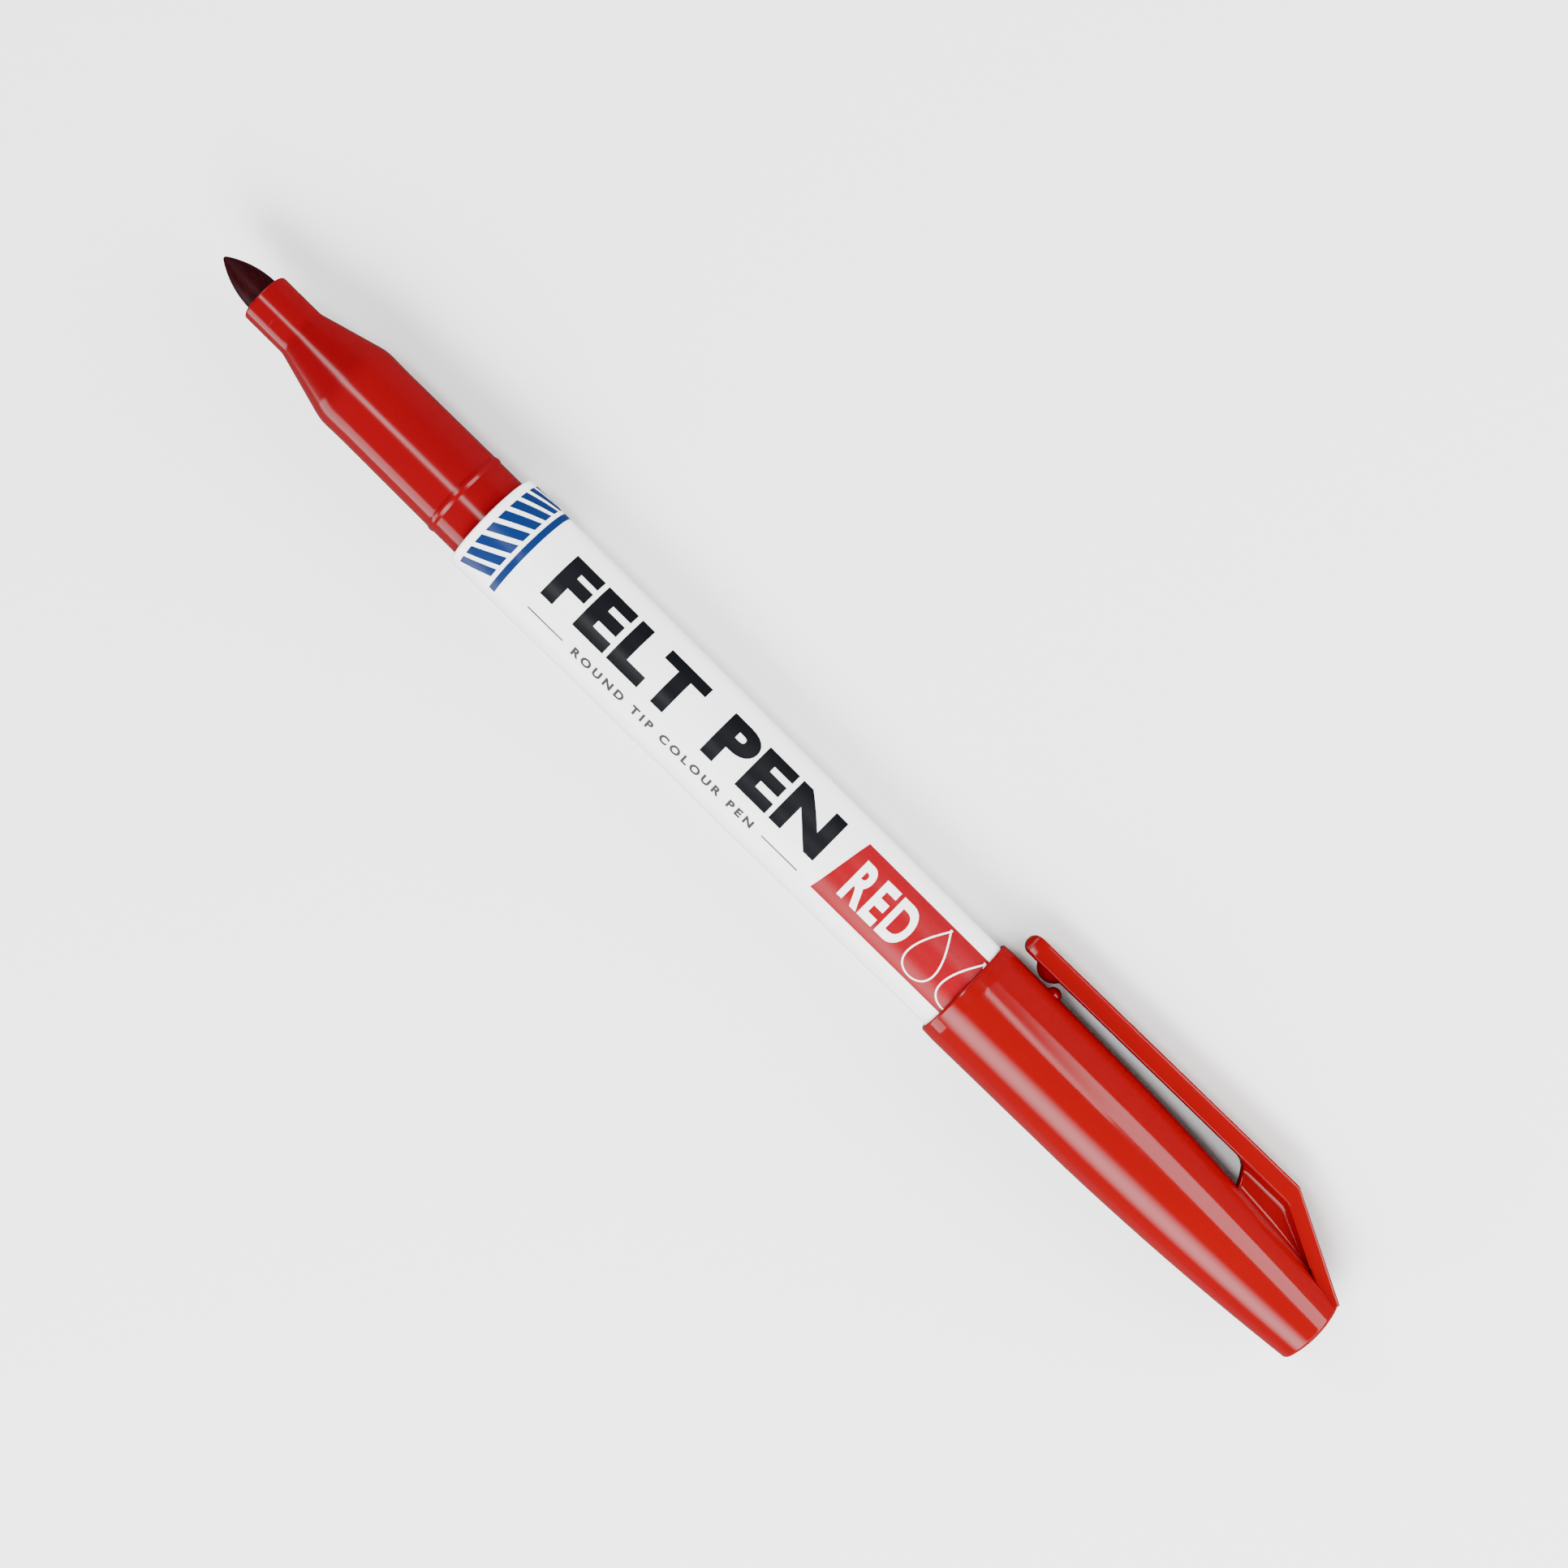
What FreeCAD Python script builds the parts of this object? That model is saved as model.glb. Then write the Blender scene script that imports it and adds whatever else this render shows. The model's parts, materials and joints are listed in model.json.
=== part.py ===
"""Felt tip marker with its cap posted on its tail, lying on its side on a flat surface.

Sizes are in millimetres. Every piece is first built in the pen frame: X runs along the axis from
the writing tip to the cap's domed end, X = 0 is the barrel's front rim, and the clip is on the
+Y side. lie_down() then rolls the marker over on to the cap and one edge of the clip and moves
it into the row frame, where it rests on Z = 0 with the middle of its footprint at the origin.
"""

import FreeCAD, Part
import math
import os

# Fits
press_clearance = 0.02
running_clearance = 0.05
seat_gap = 0.3

# Felt nib
nib_radius = 1.85
nib_point_length = 5.5
nib_tip_radius = 0.3
nib_bite = 8.0
nib_tail_chamfer = 0.6

# Front section: nozzle, cone, neck, and the insert that plugs the barrel
nozzle_wall = 0.83
nozzle_length = 5.2
nozzle_round = 0.28
cone_length = 7.2
cone_foot_round = 2.5
cone_wall = 1.3
shoulder_round = 6.0
neck_radius = 4.7
neck_length = 18.8
neck_wall = 0.82
bead_height = 0.13
bead_width = 0.9
bead_from_rim = 3.63
insert_length = 7.0
vent_count = 3
vent_width = 0.6
vent_depth = 0.3

# Barrel
barrel_length = 67.0
barrel_ledge = 0.25
barrel_front_wall = 1.1
barrel_rear_wall = 0.775
barrel_band_length = 8.0
barrel_rim_round = 0.22
rib_count = 4
rib_width = 0.6
rib_end_gap = 2.0

# Ink reservoir
reservoir_clearance = 0.08
film_thickness = 0.12
film_setback = 0.8
core_front_gap = 2.0

# Tail plug
plug_insert_length = 6.0
plug_wall = 1.0
stop_length = 2.0
stop_wall = 0.9
stub_length = 12.0
stub_play = 0.1
stub_wall = 1.0
stub_round = 0.8

# Cap shell
skirt_wall = 0.52
skirt_overlap = 2.5
lip_round = 0.2
lip_lead_length = 1.6
lip_lead_drop = 0.06
cap_straight_length = 19.0
cap_straight_drop = 0.22
cap_bow = 0.3
cap_end_radius = 3.68
cap_end_round = 0.35
cap_dome_height = 0.64
cap_dome_bow = 0.14
cap_dome_flat = 0.5
cap_wall = 1.1
cap_end_wall = 2.0
cap_end_room = 9.5
groove_depth = 0.13
groove_width = 1.2

# Inner seal of the cap
seal_clearance = 0.1
seal_wall = 0.6
seal_lead_length = 2.2
seal_lead_flare = 0.9
seal_collar_length = 2.9
seal_ledge = 0.3
seal_bore_length = 6.0
seal_nib_room = 0.35
seal_tip_room = 1.1
seal_end_wall = 0.8
seal_room = 0.2

# Pocket clip and its root on the cap
clip_width = 3.8
clip_thickness = 2.0
clip_gap = 1.0
clip_rise = 0.35
clip_tip_from_mouth = 1.3
clip_tip_round = 0.85
clip_tip_plan_round = 1.4
clip_split_gap = 0.05
elbow_to_end = 10.8
elbow_round = 1.2
slot_to_elbow = 5.4
slot_slant = 1.3
slot_top_round = 0.7
slot_foot_round = 0.25
slot_to_split = 0.95
flange_thickness = 1.6
web_width = 2.0
web_bite = 0.5
ball_radius = 1.7
ball_gap = 0.2
ball_from_mouth = 5.0
nub_radius = 0.85
nub_height = 0.65
nub_from_mouth = 6.9

# Radii that follow
nib_bore_radius = nib_radius + press_clearance
nozzle_radius = nib_bore_radius + nozzle_wall
neck_bore_radius = neck_radius - neck_wall
barrel_bore_radius = neck_radius - barrel_ledge
barrel_front_radius = barrel_bore_radius + barrel_front_wall
barrel_rear_radius = barrel_bore_radius + barrel_rear_wall
insert_radius = barrel_bore_radius - press_clearance
film_radius = neck_bore_radius - reservoir_clearance
film_bore_radius = film_radius - film_thickness
core_radius = film_bore_radius - press_clearance
rib_radius = film_radius + running_clearance
stub_radius = neck_radius - stub_play
skirt_bore_radius = barrel_rear_radius + running_clearance
cap_radius = skirt_bore_radius + skirt_wall
cap_bore_radius = neck_radius + running_clearance
seal_bore_radius = nozzle_radius + seal_clearance
seal_nib_bore_radius = nib_radius + seal_nib_room

# Places along X that follow
cone_foot_x = -neck_length - cone_length
nozzle_face_x = cone_foot_x - nozzle_length
nib_tip_x = nozzle_face_x - nib_point_length
core_front_x = core_front_gap - neck_length
plug_front_x = barrel_length - plug_insert_length
core_rear_x = plug_front_x - stop_length
stub_end_x = barrel_length + stub_length
mouth_x = barrel_length - skirt_overlap

# Depths into the cap that follow. With the cap on the nose its mouth meets the barrel's rim.
seal_mouth_depth = -cone_foot_x - seal_lead_length + seal_clearance
seal_shoulder_depth = seal_mouth_depth + seal_collar_length
seal_step_depth = seal_mouth_depth + seal_lead_length + seal_bore_length
seal_blind_depth = seal_tip_room - nib_tip_x
seal_end_depth = seal_blind_depth + seal_end_wall
cap_side_depth = seal_end_depth + cap_end_room - cap_dome_height
cap_depth = cap_side_depth + cap_dome_height
skirt_depth = skirt_overlap + seat_gap
elbow_depth = cap_side_depth - elbow_to_end
slot_depth = elbow_depth - slot_to_elbow
split_depth = slot_depth - slot_to_split

# Heights over the axis that follow
clip_tip_height = cap_radius + clip_gap + clip_thickness
elbow_height = clip_tip_height + clip_rise
clip_slope = clip_rise / (elbow_depth - clip_tip_from_mouth)


def point(x, y):
    return FreeCAD.Vector(x, y, 0)


x_axis = point(1, 0)


def corner_arc(before, corner, after, radius):
    """Start, middle and end of the tangent arc that rounds one corner."""
    back = (before - corner).normalize()
    on = (after - corner).normalize()
    half = back.getAngle(on) / 2
    bisector = (back + on).normalize()
    reach = radius / math.tan(half)
    middle = corner + bisector * (radius / math.sin(half) - radius)
    return corner + back * reach, middle, corner + on * reach


def outline(corners):
    """Closed face from corners (x, y, rounding, bow): bow arches the edge after the corner."""
    full = [tuple(c) + (0,) * (4 - len(c)) for c in corners]
    places = [point(c[0], c[1]) for c in full]
    count = len(full)
    turns = []
    for i in range(count):
        if full[i][2]:
            following = places[(i + 1) % count]
            turns.append(corner_arc(places[i - 1], places[i], following, full[i][2]))
        else:
            turns.append((places[i], None, places[i]))
    edges = []
    for i in range(count):
        start, middle, end = turns[i]
        following = turns[(i + 1) % count][0]
        if middle:
            edges.append(Part.Arc(start, middle, end).toShape())
        if full[i][3]:
            run = following - end
            side = point(-run.y, run.x).normalize()
            arch = Part.BezierCurve()
            arch.setPoles([end, (end + following) * 0.5 + side * 2 * full[i][3], following])
            edges.append(arch.toShape())
        else:
            edges.append(Part.LineSegment(end, following).toShape())
    return Part.Face(Part.Wire(edges))


def turned(corners):
    """Solid turned about the axis from a closed half profile of (x, radius, rounding, bow)."""
    return outline(corners).revolve(point(0, 0), x_axis, 360)


def plate(corners, width):
    """Solid of even width, centred on the clip's plane, from a closed side view."""
    face = outline(corners)
    face.translate(FreeCAD.Vector(0, 0, -width / 2))
    return face.extrude(FreeCAD.Vector(0, 0, width))


def ring(x_low, x_high, inner, outer):
    return turned([(x_low, outer), (x_high, outer), (x_high, inner), (x_low, inner)])


def spokes(x_low, x_high, inner, outer, width, count):
    """Flat ribs along the axis, evenly spaced around it."""
    shapes = []
    for i in range(count):
        corner = FreeCAD.Vector(x_low, inner, -width / 2)
        shape = Part.makeBox(x_high - x_low, outer - inner, width, corner)
        shape.rotate(point(0, 0), x_axis, 360 * i / count)
        shapes.append(shape)
    return shapes


def make_nib():
    """Felt rod: an ogive point with a small round tip, and a chamfered tail inside the core."""
    tail_x = core_front_x + nib_bite
    tip_x = nib_tip_x + nib_tip_radius
    fall = nib_radius - nib_tip_radius
    length = nozzle_face_x - tip_x
    flank = (length**2 + nib_radius**2 - nib_tip_radius**2) / (2 * fall)
    flank_centre = point(nozzle_face_x, nib_radius - flank)
    lean = (point(tip_x, 0) - flank_centre).normalize()
    tangent = point(tip_x, 0) + lean * nib_tip_radius
    half_turn = math.atan2(-lean.x, lean.y) / 2
    flank_middle = flank_centre + point(-math.sin(half_turn), math.cos(half_turn)) * flank
    half_tip = math.atan2(lean.y, -lean.x) / 2
    tip_middle = point(tip_x, 0) + point(-math.cos(half_tip), math.sin(half_tip)) * nib_tip_radius
    corners = [
        point(nozzle_face_x, nib_radius),
        point(tail_x - nib_tail_chamfer, nib_radius),
        point(tail_x, nib_radius - nib_tail_chamfer),
        point(tail_x, 0),
        point(nib_tip_x, 0),
    ]
    edges = [Part.LineSegment(a, b).toShape() for a, b in zip(corners, corners[1:])]
    edges.append(Part.Arc(corners[-1], tip_middle, tangent).toShape())
    edges.append(Part.Arc(tangent, flank_middle, corners[0]).toShape())
    return Part.Face(Part.Wire(edges)).revolve(point(0, 0), x_axis, 360)


def make_front_section():
    """Nozzle, cone and neck with its snap bead, and an insert that is pressed into the barrel."""
    cone_root_x = core_front_x - running_clearance
    body = turned([
        (nozzle_face_x, nib_bore_radius),
        (nozzle_face_x, nozzle_radius, nozzle_round),
        (cone_foot_x, nozzle_radius, cone_foot_round),
        (-neck_length, neck_radius, shoulder_round),
        (-bead_from_rim - bead_width / 2, neck_radius, 0, bead_height),
        (-bead_from_rim + bead_width / 2, neck_radius),
        (0, neck_radius),
        (0, insert_radius),
        (insert_length, insert_radius),
        (insert_length, neck_bore_radius),
        (cone_root_x, neck_bore_radius),
        (cone_foot_x + cone_wall, nib_bore_radius),
    ])
    vent_top = nib_bore_radius + vent_depth
    vents = spokes(nozzle_face_x, cone_foot_x + cone_wall, 0, vent_top, vent_width, vent_count)
    return body.cut(vents)


def make_barrel():
    """White tube, a little thinner to the rear, with ribs that centre the reservoir."""
    body = turned([
        (0, barrel_bore_radius),
        (0, barrel_front_radius, barrel_rim_round),
        (barrel_band_length, barrel_front_radius),
        (barrel_length, barrel_rear_radius),
        (barrel_length, barrel_bore_radius),
    ])
    rib_low = insert_length + rib_end_gap
    rib_high = plug_front_x - rib_end_gap
    rib_foot = barrel_bore_radius + barrel_rear_wall / 2
    ribs = spokes(rib_low, rib_high, rib_radius, rib_foot, rib_width, rib_count)
    return body.fuse(ribs).removeSplitter()


def make_reservoir_core():
    """Bonded fibre rod that holds the ink, with the hole that the nib's tail is pushed into."""
    tail_x = core_front_x + nib_bite
    return turned([
        (core_front_x, nib_bore_radius),
        (core_front_x, core_radius),
        (core_rear_x, core_radius),
        (core_rear_x, 0),
        (tail_x, 0),
        (tail_x, nib_bore_radius - nib_tail_chamfer),
        (tail_x - nib_tail_chamfer, nib_bore_radius),
    ])


def make_reservoir_film():
    """Thin plastic sleeve around the fibre rod, a little short of both its ends."""
    low = core_front_x + film_setback
    high = core_rear_x - film_setback
    return ring(low, high, film_bore_radius, film_radius)


def make_tail_plug():
    """Plug pressed into the barrel's tail, with the hollow stub that the cap is posted on."""
    hollow_radius = stub_radius - stub_wall - plug_wall
    body = turned([
        (core_rear_x, 0),
        (core_rear_x, insert_radius - plug_wall),
        (plug_front_x, insert_radius - plug_wall),
        (plug_front_x, insert_radius, 0.3),
        (barrel_length, insert_radius),
        (barrel_length, stub_radius),
        (stub_end_x, stub_radius, stub_round),
        (stub_end_x, 0),
    ])
    hollow = ring(core_rear_x, stub_end_x - stub_wall, 0, hollow_radius)
    stops = spokes(core_rear_x, barrel_length, 0, hollow_radius, stop_wall, 4)
    return body.cut(hollow.cut(stops))


def cap_outer_radius(depth):
    """Outside radius of the cap: a straight taper, then the slow arc down to its end."""
    if depth <= cap_straight_length:
        return cap_radius - cap_straight_drop * depth / cap_straight_length
    straight_end = cap_radius - cap_straight_drop
    share = (depth - cap_straight_length) / (cap_side_depth - cap_straight_length)
    chord = straight_end + (cap_end_radius - straight_end) * share
    return chord + 4 * cap_bow * share * (1 - share)


def clip_point(depth, below):
    """Point under the clip's outer face, at a depth from the cap's mouth."""
    height = clip_tip_height + clip_slope * (depth - clip_tip_from_mouth)
    return mouth_x + depth, height - below


def make_cap_outside():
    lip_radius = cap_outer_radius(lip_lead_length) - lip_lead_drop
    return turned([
        (mouth_x, 0),
        (mouth_x, lip_radius, lip_round),
        (mouth_x + lip_lead_length, cap_outer_radius(lip_lead_length)),
        (mouth_x + cap_straight_length, cap_outer_radius(cap_straight_length), 0, cap_bow),
        (mouth_x + cap_side_depth, cap_end_radius, cap_end_round, cap_dome_bow),
        (mouth_x + cap_depth, cap_dome_flat),
        (mouth_x + cap_depth, 0),
    ])


def make_cap_inside():
    """Hollow of the cap: skirt, snap groove, bore, seat for the seal, and the blind end."""
    groove_low = mouth_x + bead_from_rim - groove_width / 2
    groove_high = mouth_x + bead_from_rim + groove_width / 2
    seat_radius = cap_outer_radius(seal_mouth_depth) - cap_wall
    blind_x = mouth_x + cap_depth - cap_end_wall
    seal_radius = seal_bore_radius + seal_wall
    seal_end_radius = seal_nib_bore_radius + seal_wall
    return turned([
        (mouth_x, 0),
        (mouth_x, skirt_bore_radius),
        (mouth_x + skirt_depth, skirt_bore_radius),
        (mouth_x + skirt_depth, cap_bore_radius),
        (groove_low, cap_bore_radius),
        (groove_low, cap_bore_radius + groove_depth),
        (groove_high, cap_bore_radius + groove_depth),
        (groove_high, cap_bore_radius),
        (mouth_x + seal_mouth_depth - seal_ledge, cap_bore_radius),
        (mouth_x + seal_mouth_depth, seat_radius),
        (mouth_x + seal_shoulder_depth, seat_radius),
        (mouth_x + seal_shoulder_depth, seat_radius - seal_ledge),
        (mouth_x + seal_step_depth + seal_wall, seal_radius + seal_room),
        (mouth_x + seal_end_depth + seal_room, seal_end_radius + seal_room),
        (blind_x, cap_end_radius - cap_wall),
        (blind_x, 0),
    ])


def slant_point(along, below):
    """Point under the slanted foot's outer face, measured from the elbow."""
    elbow = point(mouth_x + elbow_depth, elbow_height)
    foot = point(mouth_x + cap_side_depth, cap_end_radius)
    run = (foot - elbow).normalize()
    place = elbow + run * along - point(-run.y, run.x) * below
    return place.x, place.y


def make_clip_root():
    """Flange from the split over the elbow and down the slant, on a thinner web to the cap."""
    slant_length = math.hypot(elbow_to_end, elbow_height - cap_end_radius)
    slant = math.asin((elbow_height - cap_end_radius) / slant_length)
    inner_turn = (slant + math.atan(clip_slope)) / 2
    inner_elbow_depth = elbow_depth - clip_thickness * math.tan(inner_turn)
    flange = plate([
        clip_point(split_depth, clip_thickness),
        clip_point(split_depth, 0),
        clip_point(elbow_depth, 0) + (elbow_round,),
        (mouth_x + cap_side_depth, cap_end_radius),
        slant_point(slant_length - 1, flange_thickness),
        slant_point(0, flange_thickness),
        clip_point(inner_elbow_depth, clip_thickness),
    ], clip_width)
    slot_foot_depth = slot_depth + slot_slant
    slot_foot_height = cap_outer_radius(slot_foot_depth)
    web = plate([
        clip_point(split_depth, clip_thickness),
        clip_point(split_depth, clip_thickness / 2),
        clip_point(elbow_depth, clip_thickness / 2),
        slant_point(slant_length - 2, flange_thickness / 2),
        (mouth_x + cap_side_depth - 2, cap_outer_radius(cap_side_depth - 2) - web_bite),
        (mouth_x + slot_foot_depth - 1, slot_foot_height - web_bite),
        (mouth_x + slot_foot_depth - 1, slot_foot_height),
        (mouth_x + slot_foot_depth, slot_foot_height, slot_foot_round),
        clip_point(slot_depth, clip_thickness) + (slot_top_round,),
    ], web_width)
    return [flange, web]


def make_cap_shell():
    """Cap wall with the clip's root and the small nub that the clip's ball clamps against."""
    nub_centre = cap_outer_radius(nub_from_mouth) + nub_height - nub_radius
    nub = Part.makeSphere(nub_radius, point(mouth_x + nub_from_mouth, nub_centre))
    body = make_cap_outside().fuse(make_clip_root() + [nub])
    return body.cut(make_cap_inside()).removeSplitter()


def make_cap_inner_seal():
    """Soft liner: a collar pressed into the cap, a bore for the nozzle and room for the nib."""
    collar_radius = cap_outer_radius(seal_mouth_depth) - cap_wall - press_clearance
    return turned([
        (mouth_x + seal_mouth_depth, seal_bore_radius + seal_lead_flare),
        (mouth_x + seal_mouth_depth, collar_radius),
        (mouth_x + seal_shoulder_depth, collar_radius),
        (mouth_x + seal_shoulder_depth, seal_bore_radius + seal_wall),
        (mouth_x + seal_step_depth, seal_bore_radius + seal_wall),
        (mouth_x + seal_step_depth + seal_wall, seal_nib_bore_radius + seal_wall),
        (mouth_x + seal_end_depth, seal_nib_bore_radius + seal_wall),
        (mouth_x + seal_end_depth, 0),
        (mouth_x + seal_blind_depth, 0),
        (mouth_x + seal_blind_depth, seal_nib_bore_radius),
        (mouth_x + seal_step_depth, seal_nib_bore_radius),
        (mouth_x + seal_step_depth, seal_bore_radius),
        (mouth_x + seal_mouth_depth + seal_lead_length, seal_bore_radius),
    ])


def make_pocket_clip():
    """Springy arm with a round tip and the ball under it that grips a pocket."""
    end_depth = split_depth - clip_split_gap
    side = plate([
        clip_point(clip_tip_from_mouth, clip_thickness) + (clip_tip_round,),
        clip_point(clip_tip_from_mouth, 0) + (clip_tip_round,),
        clip_point(end_depth, 0),
        clip_point(end_depth, clip_thickness),
    ], clip_width)
    half = clip_width / 2
    low = mouth_x + clip_tip_from_mouth
    high = mouth_x + end_depth + 1
    plan = outline([
        (low, -half, clip_tip_plan_round),
        (high, -half),
        (high, half),
        (low, half, clip_tip_plan_round),
    ])
    plan.rotate(point(0, 0), x_axis, 90)
    arm = side.common(plan.extrude(point(0, elbow_height + 1)))
    ball_x, ball_limit = clip_point(ball_from_mouth, clip_thickness / 2)
    ball_height = cap_outer_radius(ball_from_mouth) + ball_gap + ball_radius
    ball = Part.makeSphere(ball_radius, point(ball_x, ball_height))
    above = Part.makeBox(
        4 * ball_radius,
        4 * ball_radius,
        4 * ball_radius,
        FreeCAD.Vector(ball_x - 2 * ball_radius, ball_limit, -2 * ball_radius),
    )
    return arm.fuse(ball.cut(above)).removeSplitter()


def rest_angle():
    """Degrees that the clip hangs below level when it and the cap both touch the surface."""
    half = clip_width / 2
    reach = math.hypot(elbow_height, half)
    return math.degrees(math.asin(cap_radius / reach) - math.atan2(half, elbow_height))


def lie_down(pieces):
    """Roll every piece on to the clip's edge and centre the footprint on the origin."""
    for shape in pieces.values():
        shape.rotate(point(0, 0), x_axis, -rest_angle())
    box = Part.makeCompound(list(pieces.values())).optimalBoundingBox()
    shift = FreeCAD.Vector(-box.Center.x, -box.Center.y, -box.ZMin)
    for shape in pieces.values():
        shape.translate(shift)


def main():
    pieces = {
        "barrel": make_barrel(),
        "front_section": make_front_section(),
        "nib": make_nib(),
        "reservoir_core": make_reservoir_core(),
        "reservoir_film": make_reservoir_film(),
        "tail_plug": make_tail_plug(),
        "cap_shell": make_cap_shell(),
        "cap_inner_seal": make_cap_inner_seal(),
        "pocket_clip": make_pocket_clip(),
    }
    lie_down(pieces)
    os.makedirs("parts", exist_ok=True)
    for name, shape in pieces.items():
        if not shape.isValid() or len(shape.Solids) != 1:
            raise ValueError(name + " is not one valid solid")
        shape.exportStep("parts/" + name + ".step")
        print(name, round(shape.Volume, 2), "mm3")


main()
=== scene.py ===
import json
import math

import bmesh
import bpy
import numpy as np
from mathutils import Matrix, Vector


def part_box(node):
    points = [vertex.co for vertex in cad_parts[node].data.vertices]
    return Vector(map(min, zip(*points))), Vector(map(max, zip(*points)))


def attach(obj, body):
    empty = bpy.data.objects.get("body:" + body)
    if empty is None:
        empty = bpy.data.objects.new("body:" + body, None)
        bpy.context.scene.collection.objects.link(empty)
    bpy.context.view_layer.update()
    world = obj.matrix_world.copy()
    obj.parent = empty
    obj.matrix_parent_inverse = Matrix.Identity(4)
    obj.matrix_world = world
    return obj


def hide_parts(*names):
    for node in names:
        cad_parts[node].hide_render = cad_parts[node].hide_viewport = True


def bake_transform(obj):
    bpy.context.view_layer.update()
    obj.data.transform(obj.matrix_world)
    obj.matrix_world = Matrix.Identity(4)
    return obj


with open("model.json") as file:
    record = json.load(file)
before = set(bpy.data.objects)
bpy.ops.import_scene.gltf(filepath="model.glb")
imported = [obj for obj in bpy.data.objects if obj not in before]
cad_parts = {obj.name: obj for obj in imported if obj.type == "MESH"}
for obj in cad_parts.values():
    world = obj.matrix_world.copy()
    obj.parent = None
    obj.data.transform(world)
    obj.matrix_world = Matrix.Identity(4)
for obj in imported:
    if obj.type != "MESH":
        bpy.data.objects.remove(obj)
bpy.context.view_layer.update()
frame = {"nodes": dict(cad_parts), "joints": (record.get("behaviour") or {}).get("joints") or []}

print("frame loaded")

# The pen frame: x runs from the barrel's front rim to the cap's end, y points to the clip and z runs
# across the clip's width. Shapes are worked out in it, in millimetres, and placed in metres.
millimetre = 0.001
barrelLow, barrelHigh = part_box("barrel")
flexJoint = next(j for j in frame["joints"] if j["name"] == "pocket_clip_flex")
penOrigin = np.array([barrelLow.x, (barrelLow.y + barrelHigh.y) / 2, (barrelLow.z + barrelHigh.z) / 2])
penAlong = np.array([1.0, 0.0, 0.0])
penAcross = -np.array(flexJoint["axis"])
penAcross = penAcross / np.linalg.norm(penAcross)
penClip = np.cross(penAcross, penAlong)
penTurn = np.stack([penAlong, penClip, penAcross])
penView = -penAcross if penAcross[2] < 0 else penAcross  # from the pen to the camera


# Millimetres in the pen frame to metres in the scene: the origin plus each part along its axis.
def toScene(points):
    return penOrigin + np.asarray(points, float) @ penTurn * millimetre


# The way back: the offset from the origin, taken along each axis.
def toPen(points):
    return (np.asarray(points, float) - penOrigin) @ penTurn.T / millimetre


# Corners of a CAD node in the pen frame.
def nodePoints(node):
    mesh = frame["nodes"][node].data
    flat = np.zeros(len(mesh.vertices) * 3)
    mesh.vertices.foreach_get("co", flat)
    return toPen(flat.reshape(-1, 3))


# Lowest and highest x of a node, in millimetres.
def spanOf(node):
    points = nodePoints(node)
    return points[:, 0].min(), points[:, 0].max()


# Largest distance from the axis of a node's corners near that x, in millimetres.
def radiusOf(node, x, reach=0.05):
    points = nodePoints(node)
    near = points[np.abs(points[:, 0] - x) < reach]
    return np.hypot(near[:, 1], near[:, 2]).max()


# Surfaces on grids

# An object at the origin with these pen-frame points; normals face outwards.
def meshFrom(name, points, faces, sharpAngle=50):
    mesh = bpy.data.meshes.new(name)
    mesh.from_pydata(toScene(points).tolist(), [], faces)
    work = bmesh.new()
    work.from_mesh(mesh)
    bmesh.ops.recalc_face_normals(work, faces=work.faces)
    work.to_mesh(mesh)
    work.free()
    mesh.shade_smooth()
    mesh.set_sharp_from_angle(angle=math.radians(sharpAngle))
    piece = bpy.data.objects.new(name, mesh)
    bpy.context.scene.collection.objects.link(piece)
    return piece


# Corner numbers of the quads of a grid, joined round where it closes.
def gridFaces(rows, columns, closeRows, closeColumns):
    index = np.arange(rows * columns).reshape(rows, columns)
    if closeRows:
        index = np.vstack([index, index[:1]])
    if closeColumns:
        index = np.hstack([index, index[:, :1]])
    a, b = index[:-1, :-1], index[1:, :-1]
    c, d = index[1:, 1:], index[:-1, 1:]
    return np.stack([a, b, c, d], axis=-1).reshape(-1, 4)


# A piece from a grid of points; a pole closes an end row with a fan to its middle.
def gridPiece(name, grid, closeRows=False, closeColumns=True, poles=(False, False), sharpAngle=50):
    rows, columns = grid.shape[:2]
    points = grid.reshape(-1, 3)
    faces = gridFaces(rows, columns, closeRows, closeColumns).tolist()
    for wanted, row in zip(poles, (0, rows - 1)):
        if wanted:
            ring = row * columns + np.arange(columns)
            tip = np.full(columns, len(points))
            faces += np.stack([ring, np.roll(ring, -1), tip], axis=-1).tolist()
            points = np.vstack([points, grid[row].mean(axis=0)])
    return meshFrom(name, points, faces, sharpAngle)


# Points of the arc that rounds a corner and meets both its lines without a kink.
def tangentArc(before, corner, after, radius, step=math.radians(7)):
    back = (before - corner) / np.linalg.norm(before - corner)
    on = (after - corner) / np.linalg.norm(after - corner)
    half = math.acos(np.clip(back @ on, -1, 1)) / 2
    bisector = (back + on) / np.linalg.norm(back + on)
    centre = corner + bisector * radius / math.sin(half)
    first = corner + back * radius / math.tan(half) - centre
    last = corner + on * radius / math.tan(half) - centre
    turn = math.pi - 2 * half
    count = max(3, math.ceil(turn / step) + 1)
    share = np.linspace(0, 1, count)[:, None]
    blend = (np.sin((1 - share) * turn) * first + np.sin(share * turn) * last) / math.sin(turn)
    return centre + blend


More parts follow.
